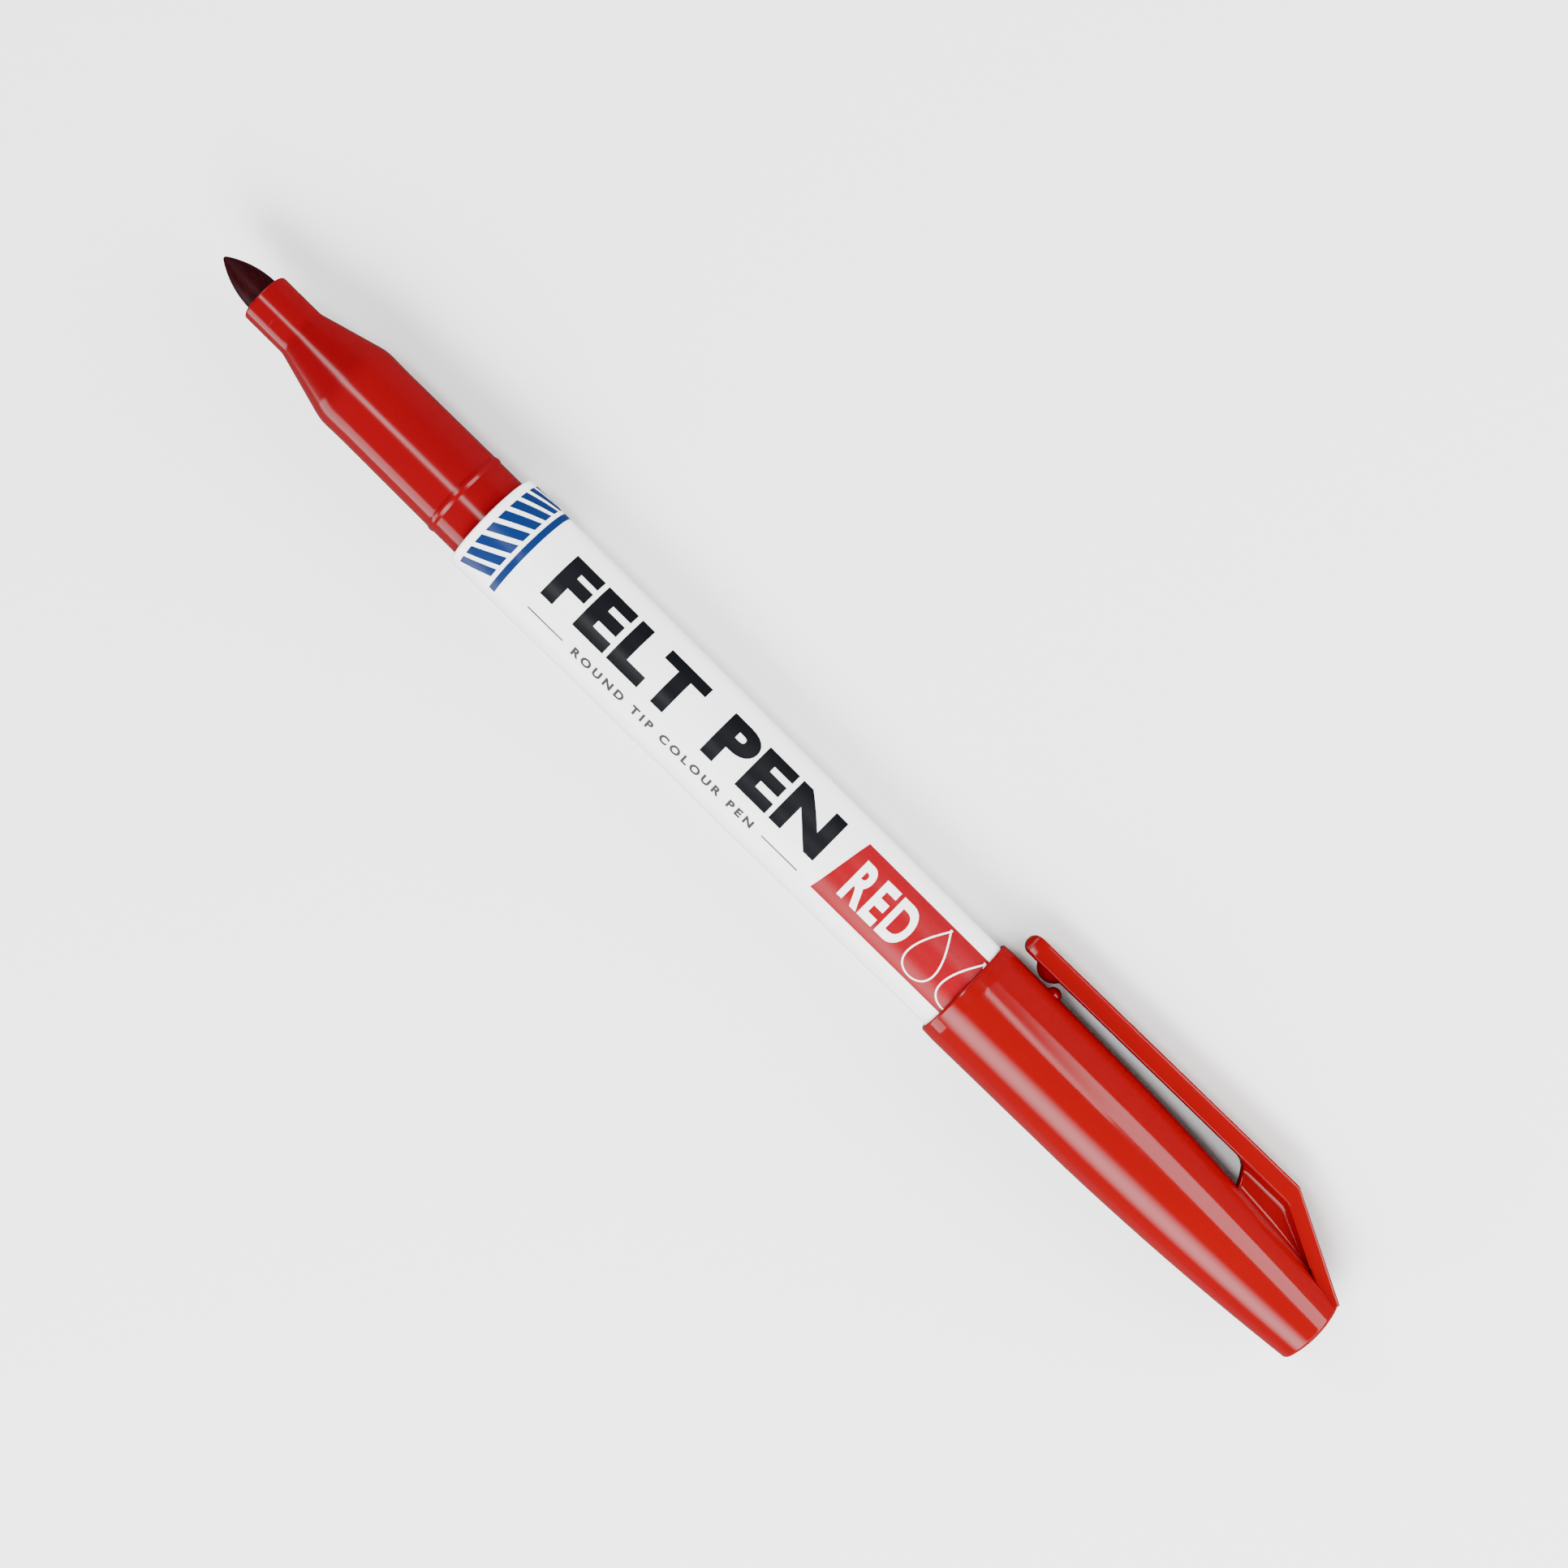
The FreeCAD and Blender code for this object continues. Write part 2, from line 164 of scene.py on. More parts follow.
# A line through corners (x, y, rounding), rounded by tangent arcs. Long straight runs get points evenly
# along them and one close to each end.
def outline(corners, closed=False, spacing=1.2, support=0.05):
    places = [np.array(c[:2], float) for c in corners]
    bends = []
    for i, corner in enumerate(corners):
        inner = closed or 0 < i < len(corners) - 1
        if len(corner) > 2 and corner[2] > 0 and inner:
            bends.append(tangentArc(places[i - 1], places[i], places[(i + 1) % len(places)], corner[2]))
        else:
            bends.append(places[i][None])
    line = []
    for i, bend in enumerate(bends):
        line.append(bend)
        if i == len(bends) - 1 and not closed:
            break
        start, end = bend[-1], bends[(i + 1) % len(bends)][0]
        length = np.linalg.norm(end - start)
        if length > 4 * support:
            inside = np.linspace(support, length - support, max(2, math.ceil(length / spacing) + 1))
            line.append(start + (end - start) * inside[:, None] / length)
    return np.vstack(line)


# A surface turned about the axis: each (x, radius) of the line becomes a ring.
def turnedPiece(name, line, closed=False, count=160, sharpAngle=50):
    angle = np.linspace(0, 2 * math.pi, count, endpoint=False)
    onAxis = line[:, 1] < 1e-6
    rings = line[~onAxis]
    grid = np.stack([
        np.repeat(rings[:, :1], count, axis=1),
        rings[:, 1:] * np.cos(angle),
        rings[:, 1:] * np.sin(angle),
    ], axis=-1)
    poles = (bool(onAxis[0]), bool(onAxis[-1]))
    return gridPiece(name, grid, closed, True, poles, sharpAngle)


# Gives a piece its material, the CAD nodes that it stands for, and the body that carries it.
def finishPiece(piece, body, material, slotName, *replaced):
    piece.data.materials.clear()
    piece.data.materials.append(material)
    if replaced:
        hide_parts(*replaced)
    if body:
        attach(piece, body)
    return piece


# Shared shader groups

# An empty group with these named sockets, and its two end nodes.
def newGroup(name, inputs, outputs):
    group = bpy.data.node_groups.new(name, "ShaderNodeTree")
    for label, kind, value in inputs:
        socket = group.interface.new_socket(label, in_out="INPUT", socket_type=kind)
        socket.default_value = value
    for label, kind in outputs:
        group.interface.new_socket(label, in_out="OUTPUT", socket_type=kind)
    return group, group.nodes.new("NodeGroupInput"), group.nodes.new("NodeGroupOutput")


# A math node; numbers are set on it and sockets are linked to it.
def mathNode(tree, operation, first, second):
    node = tree.nodes.new("ShaderNodeMath")
    node.operation = operation
    for socket, value in zip(node.inputs, (first, second)):
        if isinstance(value, (int, float)):
            socket.default_value = value
        else:
            tree.links.new(value, socket)
    return node.outputs[0]


# Cloudy noise with this many spots to the metre.
def noiseNode(tree, vector, scale, detail=3.0, roughness=0.5):
    node = tree.nodes.new("ShaderNodeTexNoise")
    node.inputs["Scale"].default_value = scale
    node.inputs["Detail"].default_value = detail
    node.inputs["Roughness"].default_value = roughness
    tree.links.new(vector, node.inputs["Vector"])
    return node.outputs["Fac"]


# The place multiplied by a scale for each axis: a larger one squeezes the pattern.
def stretched(tree, vector, scale):
    node = tree.nodes.new("ShaderNodeMapping")
    node.inputs["Scale"].default_value = scale
    tree.links.new(vector, node.inputs["Vector"])
    return node.outputs["Vector"]


# 0 below low, 1 above high and even in between.
def rampNode(tree, value, low, high):
    node = tree.nodes.new("ShaderNodeMapRange")
    node.inputs["From Min"].default_value = low
    node.inputs["From Max"].default_value = high
    tree.links.new(value, node.inputs["Value"])
    return node.outputs["Result"]


# Scales are spots to the metre; a range is where the noise turns from none to full.
mouldedSpec = {
    "cloudScale": 90.0,
    "cloudRange": (0.3, 0.7),
    "cloudRoughness": 0.12,
    "peelScale": 900.0,
    "scratchScale": 1500.0,
    "scratchStretch": (1, 9, 9),
    "scratchRange": (0.62, 0.74),
    "scratchDepth": 0.3,
}
fibreSpec = {
    "streakScale": 5200.0,
    "streakStretch": (0.16, 1, 1),
    "streakRange": (0.4, 0.75),
    "blotScale": 700.0,
    "blotRange": (0.25, 0.7),
    "smoothest": 0.25,
    "roughnessSpread": 0.4,
}


# Moulded plastic: a faint orange peel in the height, cloudy and finely scratched roughness, and a slight
# cloudiness of the colour.
def makeMouldedFinish():
    inputs = [
        ("Vector", "NodeSocketVector", (0, 0, 0)),
        ("Colour", "NodeSocketColor", (1, 1, 1, 1)),
        ("Cloud Colour", "NodeSocketColor", (1, 1, 1, 1)),
        ("Roughness", "NodeSocketFloat", 0.2),
        ("Scratches", "NodeSocketFloat", 0.1),
    ]
    outputs = [("Colour", "NodeSocketColor"), ("Roughness", "NodeSocketFloat"), ("Height", "NodeSocketFloat")]
    group, entry, out = newGroup("mouldedFinish", inputs, outputs)
    s = mouldedSpec
    vector = entry.outputs["Vector"]
    cloud = noiseNode(group, vector, s["cloudScale"], 2.0)
    peel = noiseNode(group, vector, s["peelScale"], 2.0)
    fine = noiseNode(group, stretched(group, vector, s["scratchStretch"]), s["scratchScale"], 4.0, 0.6)
    marks = rampNode(group, fine, *s["scratchRange"])
    mix = group.nodes.new("ShaderNodeMix")
    mix.data_type = "RGBA"
    group.links.new(rampNode(group, cloud, *s["cloudRange"]), mix.inputs["Factor"])
    group.links.new(entry.outputs["Colour"], mix.inputs["A"])
    group.links.new(entry.outputs["Cloud Colour"], mix.inputs["B"])
    group.links.new(mix.outputs["Result"], out.inputs["Colour"])
    cloudy = mathNode(group, "MULTIPLY", mathNode(group, "SUBTRACT", cloud, 0.5), s["cloudRoughness"])
    scratched = mathNode(group, "MULTIPLY", marks, entry.outputs["Scratches"])
    total = mathNode(group, "ADD", mathNode(group, "ADD", entry.outputs["Roughness"], cloudy), scratched)
    group.links.new(total, out.inputs["Roughness"])
    height = mathNode(group, "SUBTRACT", peel, mathNode(group, "MULTIPLY", marks, s["scratchDepth"]))
    group.links.new(height, out.inputs["Height"])
    return group


# Bonded fibres along the rod: long thin streaks in height and colour, blotchy with ink.
def makeFeltFibres():
    inputs = [
        ("Vector", "NodeSocketVector", (0, 0, 0)),
        ("Wet Colour", "NodeSocketColor", (0, 0, 0, 1)),
        ("Fibre Colour", "NodeSocketColor", (1, 1, 1, 1)),
    ]
    outputs = [("Colour", "NodeSocketColor"), ("Roughness", "NodeSocketFloat"), ("Height", "NodeSocketFloat")]
    group, entry, out = newGroup("feltFibres", inputs, outputs)
    s = fibreSpec
    vector = entry.outputs["Vector"]
    streaks = noiseNode(group, stretched(group, vector, s["streakStretch"]), s["streakScale"], 5.0, 0.65)
    blots = noiseNode(group, vector, s["blotScale"], 3.0)
    bright = rampNode(group, streaks, *s["streakRange"])
    shade = mathNode(group, "MULTIPLY", bright, rampNode(group, blots, *s["blotRange"]))
    mix = group.nodes.new("ShaderNodeMix")
    mix.data_type = "RGBA"
    group.links.new(shade, mix.inputs["Factor"])
    group.links.new(entry.outputs["Wet Colour"], mix.inputs["A"])
    group.links.new(entry.outputs["Fibre Colour"], mix.inputs["B"])
    group.links.new(mix.outputs["Result"], out.inputs["Colour"])
    varied = mathNode(group, "MULTIPLY", streaks, s["roughnessSpread"])
    roughness = mathNode(group, "ADD", varied, s["smoothest"])
    group.links.new(roughness, out.inputs["Roughness"])
    group.links.new(streaks, out.inputs["Height"])
    return group


mouldedFinish = makeMouldedFinish()
feltFibres = makeFeltFibres()
print("shader groups made")


# A Principled material fed by a group: settings go to the group and surface to the shader.
def newMaterial(name, group, look):
    material = bpy.data.materials.new(name)
    material.use_nodes = True
    tree = material.node_tree
    shader = tree.nodes["Principled BSDF"]
    for label, value in look["surface"].items():
        shader.inputs[label].default_value = value
    place = tree.nodes.new("ShaderNodeTexCoord")
    node = tree.nodes.new("ShaderNodeGroup")
    node.node_tree = group
    tree.links.new(place.outputs["Object"], node.inputs["Vector"])
    for label, value in look["settings"].items():
        node.inputs[label].default_value = value
    raised = tree.nodes.new("ShaderNodeBump")
    raised.inputs["Strength"].default_value = look["bump"]["strength"]
    raised.inputs["Distance"].default_value = look["bump"]["distance"]
    tree.links.new(node.outputs["Height"], raised.inputs["Height"])
    tree.links.new(raised.outputs["Normal"], shader.inputs["Normal"])
    tree.links.new(node.outputs["Colour"], shader.inputs["Base Color"])
    tree.links.new(node.outputs["Roughness"], shader.inputs["Roughness"])
    return material


finishes = {
    "capRed": {
        "settings": {"Colour": (0.155, 0.0, 0.0015, 1), "Cloud Colour": (0.145, 0.0, 0.0015, 1),
                     "Roughness": 0.11, "Scratches": 0.06},
        "surface": {"IOR": 1.27},
        "bump": {"strength": 0.06, "distance": 0.00002},
    },
    "frontRed": {
        "settings": {"Colour": (0.13, 0.0, 0.002, 1), "Cloud Colour": (0.12, 0.0, 0.002, 1),
                     "Roughness": 0.15, "Scratches": 0.08},
        "surface": {"IOR": 1.27},
        "bump": {"strength": 0.08, "distance": 0.00002},
    },
    "barrelWhite": {
        "settings": {"Colour": (0.88, 0.88, 0.89, 1), "Cloud Colour": (0.84, 0.84, 0.86, 1),
                     "Roughness": 0.28, "Scratches": 0.08},
        "surface": {"IOR": 1.47},
        "bump": {"strength": 0.08, "distance": 0.00002},
    },
    "sealWhite": {
        "settings": {"Colour": (0.83, 0.82, 0.78, 1), "Cloud Colour": (0.78, 0.77, 0.72, 1),
                     "Roughness": 0.5, "Scratches": 0.1},
        "surface": {"IOR": 1.5},
        "bump": {"strength": 0.1, "distance": 0.00002},
    },
    "inkBlue": {
        "settings": {"Colour": (0.0015, 0.013, 0.07, 1), "Cloud Colour": (0.002, 0.015, 0.078, 1),
                     "Roughness": 0.3, "Scratches": 0.1},
        "surface": {"Specular IOR Level": 0.12},
        "bump": {"strength": 0.15, "distance": 0.00001},
    },
    "inkDark": {
        "settings": {"Colour": (0.0015, 0.002, 0.003, 1), "Cloud Colour": (0.0025, 0.003, 0.0045, 1),
                     "Roughness": 0.32, "Scratches": 0.1},
        "surface": {"Specular IOR Level": 0.12},
        "bump": {"strength": 0.15, "distance": 0.00001},
    },
    "inkGrey": {
        "settings": {"Colour": (0.022, 0.022, 0.024, 1), "Cloud Colour": (0.028, 0.028, 0.03, 1),
                     "Roughness": 0.34, "Scratches": 0.1},
        "surface": {"Specular IOR Level": 0.12},
        "bump": {"strength": 0.15, "distance": 0.00001},
    },
    "inkRed": {
        "settings": {"Colour": (0.2, 0.0, 0.005, 1), "Cloud Colour": (0.185, 0.0, 0.005, 1),
                     "Roughness": 0.26, "Scratches": 0.1},
        "surface": {"Specular IOR Level": 0.12},
        "bump": {"strength": 0.12, "distance": 0.00001},
    },
    "inkWhite": {
        "settings": {"Colour": (0.9, 0.88, 0.88, 1), "Cloud Colour": (0.86, 0.83, 0.83, 1),
                     "Roughness": 0.3, "Scratches": 0.1},
        "surface": {"IOR": 1.33},
        "bump": {"strength": 0.12, "distance": 0.00001},
    },
}
materials = {name: newMaterial(name, mouldedFinish, look) for name, look in finishes.items()}
feltLook = {
    "settings": {"Wet Colour": (0.009, 0.0, 0.0007, 1), "Fibre Colour": (0.03, 0.0001, 0.002, 1)},
    "surface": {"Specular IOR Level": 0.05},
    "bump": {"strength": 0.5, "distance": 0.00004},
}
coreLook = {
    "settings": {"Wet Colour": (0.25, 0.004, 0.01, 1), "Fibre Colour": (0.55, 0.02, 0.03, 1)},
    "surface": {"IOR": 1.4, "Sheen Weight": 0.1},
    "bump": {"strength": 0.6, "distance": 0.00006},
}
materials["nibFelt"] = newMaterial("nibFelt", feltFibres, feltLook)
materials["coreFibre"] = newMaterial("coreFibre", feltFibres, coreLook)
print("materials made")


# Barrel
barrelEnd = spanOf("barrel")[1]
barrelSpec = {
    "bandLength": 8.0,
    "rimRound": 0.25,
    "tailRound": 0.15,
    "bore": 4.45,
    "boreRound": 0.03,
}
barrelFrontRadius = radiusOf("barrel", barrelSpec["bandLength"])
barrelTailRadius = radiusOf("barrel", barrelEnd)


# Radius of the tube: even over the band, then a straight taper to the tail.
def barrelRadius(x):
    share = np.clip((x - barrelSpec["bandLength"]) / (barrelEnd - barrelSpec["bandLength"]), 0, 1)
    return barrelFrontRadius + (barrelTailRadius - barrelFrontRadius) * share


# A closed line round the wall, turned about the axis.
def makeBarrel():
    line = outline([
        (0, barrelSpec["bore"], barrelSpec["boreRound"]),
        (0, barrelFrontRadius, barrelSpec["rimRound"]),
        (barrelSpec["bandLength"], barrelFrontRadius),
        (barrelEnd, barrelTailRadius, barrelSpec["tailRound"]),
        (barrelEnd, barrelSpec["bore"], barrelSpec["boreRound"]),
    ], closed=True)
    piece = turnedPiece("barrelTube", line, closed=True)
    return finishPiece(piece, "pen", materials["barrelWhite"], "barrel_white", "barrel")


makeBarrel()
print("barrel made")


# Front section
frontSpec = {
    "nozzleRadius": 2.7,
    "nozzleLength": 5.2,
    "nozzleRound": 0.3,
    "nibBore": 1.87,
    "nibBoreRound": 0.06,
    "nibBoreStart": 0.4,
    "coneLength": 7.2,
    "coneFootRound": 2.5,
    "neckRadius": 4.7,
    "neckLength": 18.8,
    "shoulderRound": 5.0,
    "waistFromShoulder": 3.0,
    "waistDip": 0.06,
    "waistRound": 8.0,
    "beadFromRim": 3.63,
    "beadWidth": 0.9,
    "beadHeight": 0.11,
    "beadCrest": 0.12,
    "beadRound": 0.3,
    "beadFootRound": 0.2,
    "ringFromFace": 2.75,
    "ringHeight": 0.012,
    "ringHalfWidth": 0.06,
    "ringRound": 0.1,
    "insertRadius": 4.43,
    "insertLength": 7.0,
    "insertRound": 0.1,
    "coreBore": 3.88,
    "coreStopFromFoot": 1.3,
}


# Nozzle with a fine mould ring, cone, neck with a fine step behind the shoulder, snap bead.
def makeFrontSection():
    s = frontSpec
    footX = -s["neckLength"] - s["coneLength"]
    faceX = footX - s["nozzleLength"]
    beadX = -s["beadFromRim"]
    ringX = faceX + s["ringFromFace"]
    waist = s["neckRadius"] - s["waistDip"]
    bead = s["neckRadius"] + s["beadHeight"]
    line = outline([
        (faceX + s["nibBoreStart"], s["nibBore"]),
        (faceX, s["nibBore"], s["nibBoreRound"]),
        (faceX, s["nozzleRadius"], s["nozzleRound"]),
        (ringX - s["ringHalfWidth"], s["nozzleRadius"]),
        (ringX, s["nozzleRadius"] + s["ringHeight"], s["ringRound"]),
        (ringX + s["ringHalfWidth"], s["nozzleRadius"]),
        (footX, s["nozzleRadius"], s["coneFootRound"]),
        (-s["neckLength"], s["neckRadius"], s["shoulderRound"]),
        (-s["neckLength"] + s["waistFromShoulder"], waist, s["waistRound"]),
        (beadX - s["beadWidth"] / 2, s["neckRadius"], s["beadFootRound"]),
        (beadX - s["beadCrest"], bead, s["beadRound"]),
        (beadX + s["beadCrest"], bead, s["beadRound"]),
        (beadX + s["beadWidth"] / 2, s["neckRadius"], s["beadFootRound"]),
        (0, s["neckRadius"]),
        (0, s["insertRadius"]),
        (s["insertLength"], s["insertRadius"], s["insertRound"]),
        (s["insertLength"], s["coreBore"]),
        (-s["neckLength"], s["coreBore"]),
        (footX + s["coreStopFromFoot"], s["nibBore"]),
    ], closed=True)
    piece = turnedPiece("frontSection", line, closed=True)
    return finishPiece(piece, "pen", materials["frontRed"], "front_red", "front_section")


makeFrontSection()
print("front section made")


# Nib
nibSpec = {"radius": 1.85, "pointLength": 5.5, "tipRadius": 0.3, "faceX": -31.2, "tail": 12.0}


# Ogive: a flank arc tangent to the rod runs into a small round tip.
def makeNib():
    s = nibSpec
    tipX = s["faceX"] - s["pointLength"]
    tipCentre = np.array([tipX + s["tipRadius"], 0.0])
    length = s["faceX"] - tipCentre[0]
    fall = s["radius"] - s["tipRadius"]
    flank = (length**2 + s["radius"]**2 - s["tipRadius"]**2) / (2 * fall)
    centre = np.array([s["faceX"], s["radius"] - flank])
    lean = math.atan2(tipCentre[1] - centre[1], tipCentre[0] - centre[0])
    tip = np.linspace(math.pi, lean, 8)[:, None]
    side = np.linspace(lean, math.pi / 2, 40)[1:, None]
    line = np.vstack([
        tipCentre + s["tipRadius"] * np.hstack([np.cos(tip), np.sin(tip)]),
        centre + flank * np.hstack([np.cos(side), np.sin(side)]),
        [[s["faceX"] + s["tail"], s["radius"]], [s["faceX"] + s["tail"], 0.0]],
    ])
    line[0, 1] = 0.0
    piece = turnedPiece("nibFelt", line, count=96)
    return finishPiece(piece, "pen", materials["nibFelt"], "nib_felt", "nib")


makeNib()
print("nib made")


# Tail plug, reservoir and seal keep their CAD shapes and only get a material.
def dressNode(node, material):
    mesh = frame["nodes"][node].data
    mesh.materials.clear()
    mesh.materials.append(material)


dressNode("tail_plug", materials["barrelWhite"])
dressNode("cap_inner_seal", materials["sealWhite"])
dressNode("reservoir_core", materials["coreFibre"])
dressNode("reservoir_film", materials["sealWhite"])
print("inner pieces dressed")


# Cap
mouthX, capEndX = spanOf("cap_shell")
capSpec = {
    "lipRound": 0.3,
    "lipLength": 5.0,
    "lipBlend": 6.0,
    "leadLength": 1.6,
    "leadDrop": 0.06,
    "straightLength": 19.0,
    "straightDrop": 0.22,
    "bow": 0.3,
    "endRadius": 3.68,
    "endRound": 0.4,
    "domeHeight": 0.64,
    "skirtBore": 5.275,
    "skirtBevel": (0.1, 0.05),
    "skirtDepth": 2.8,
    "bore": 4.75,
    "grooveFrom": 3.03,
    "grooveTo": 4.23,
    "grooveDepth": 0.13,
    "grooveRound": 0.05,
    "boreDepth": 23.6,
    "seatLead": 0.3,
    "seatLength": 3.0,
    "seatRadius": 4.34,
    "seatBore": 4.0,
    "blindDepth": 45.5,
    "blindRadius": 2.4,
    "blindRound": 0.4,
}
leadTaper = capSpec["straightDrop"] * capSpec["leadLength"] / capSpec["straightLength"]
capRadius = radiusOf("cap_shell", mouthX + capSpec["leadLength"], 0.02) + leadTaper
sideDepth = capEndX - mouthX - capSpec["domeHeight"]


# Outside radius: a straight taper, then a line down to the end with a bow of 4 share (1 - share) on it.
def capOuter(depth):
    s = capSpec
    straightEnd = capRadius - s["straightDrop"]
    share = np.clip((depth - s["straightLength"]) / (sideDepth - s["straightLength"]), 0, 1)
    curved = straightEnd + (s["endRadius"] - straightEnd) * share + 4 * s["bow"] * share * (1 - share)
    straight = capRadius - s["straightDrop"] * np.clip(depth, 0, None) / s["straightLength"]
    return np.where(depth < s["straightLength"], straight, curved)


# Outside from the lip along the taper to the domed end, and back through the hollow.
def makeCapShell():
    s = capSpec
    lipRadius = float(capOuter(s["leadLength"])) - s["leadDrop"]
    bevelDepth, bevelWidth = s["skirtBevel"]
    lip = outline([
        (mouthX, s["skirtBore"] + bevelWidth),
        (mouthX, lipRadius, s["lipRound"]),
        (mouthX + s["leadLength"], float(capOuter(s["leadLength"])), s["lipBlend"]),
        (mouthX + s["lipLength"], float(capOuter(s["lipLength"]))),
    ])
    evenDepths = np.linspace(s["lipLength"] + 0.5, s["straightLength"], 14)
    bowedDepths = np.linspace(s["straightLength"], sideDepth, 70)[1:-1]
    depths = np.concatenate([evenDepths, bowedDepths])
    side = np.stack([mouthX + depths, capOuter(depths)], axis=-1)
    domeRadius = (s["endRadius"]**2 + s["domeHeight"]**2) / (2 * s["domeHeight"])
    domeCentre = capEndX - domeRadius
    span = math.asin(s["endRadius"] / domeRadius)
    fan = np.linspace(span, 0, 24)[:, None]
    dome = np.hstack([domeCentre + domeRadius * np.cos(fan), domeRadius * np.sin(fan)])
    corner = tangentArc(side[-1], dome[0], dome[3], s["endRound"])
    dome = dome[dome[:, 1] < corner[-1, 1] - 0.02]
    dome[-1, 1] = 0.0
    outside = np.vstack([lip, side[side[:, 0] < corner[0, 0] - 0.02], corner, dome])
    inside = outline([
        (mouthX + s["blindDepth"], 0),
        (mouthX + s["blindDepth"], s["blindRadius"], s["blindRound"]),
        (mouthX + s["boreDepth"] + s["seatLength"], s["seatBore"]),
        (mouthX + s["boreDepth"] + s["seatLength"], s["seatRadius"]),
        (mouthX + s["boreDepth"] + s["seatLead"], s["seatRadius"]),
        (mouthX + s["boreDepth"], s["bore"]),
        (mouthX + s["grooveTo"], s["bore"], s["grooveRound"]),
        (mouthX + s["grooveTo"], s["bore"] + s["grooveDepth"], s["grooveRound"]),
        (mouthX + s["grooveFrom"], s["bore"] + s["grooveDepth"], s["grooveRound"]),
        (mouthX + s["grooveFrom"], s["bore"], s["grooveRound"]),
        (mouthX + s["skirtDepth"], s["bore"], s["grooveRound"]),
        (mouthX + s["skirtDepth"], s["skirtBore"]),
        (mouthX + bevelDepth, s["skirtBore"]),
        (mouthX, s["skirtBore"] + bevelWidth),
    ])
    line = np.vstack([outside[::-1], inside[-2::-1]])
    piece = turnedPiece("capShell", line, count=192)
    return finishPiece(piece, "cap", materials["capRed"], "cap_red", "cap_shell")


makeCapShell()
print("cap shell made")


# Pocket clip
clipSpec = {
    "tipFromMouth": 1.3,
    "halfWidth": 1.9,
    "thickness": 2.0,
    "tipHeight": 8.795,
    "rise": 0.35,
    "elbowToEnd": 10.8,
    "elbowRound": 1.1,
    "innerRound": 2.4,
    "flangeThickness": 1.6,
    "edgeRound": 0.28,
    "tipPlanRound": 1.4,
    "bendStart": 0.5,
    "bendLength": 9.0,
    "ballRadius": 1.7,
    "ballTop": 0.8,
    "ballGap": 0.2,
    "ballFromMouth": 5.0,
    "nubRadius": 0.85,
    "nubHeight": 0.65,
    "nubFromMouth": 6.9,
}
elbowDepth = sideDepth - clipSpec["elbowToEnd"]
elbowHeight = clipSpec["tipHeight"] + clipSpec["rise"]


# Closed rounded rectangle; returns its two local offsets as arrays.
def roundedSection(halfThickness, halfWidth, rounding, perCorner=5):
    turn = np.linspace(0, math.pi / 2, perCorner)
    a, b = [], []
    for k, (signA, signB) in enumerate([(1, 1), (-1, 1), (-1, -1), (1, -1)]):
        angle = turn + k * math.pi / 2
        a.append(signA * (halfThickness - rounding)[:, None] + rounding[:, None] * np.cos(angle))
        b.append(signB * (halfWidth - rounding)[:, None] + rounding[:, None] * np.sin(angle))
    return np.hstack(a), np.hstack(b)


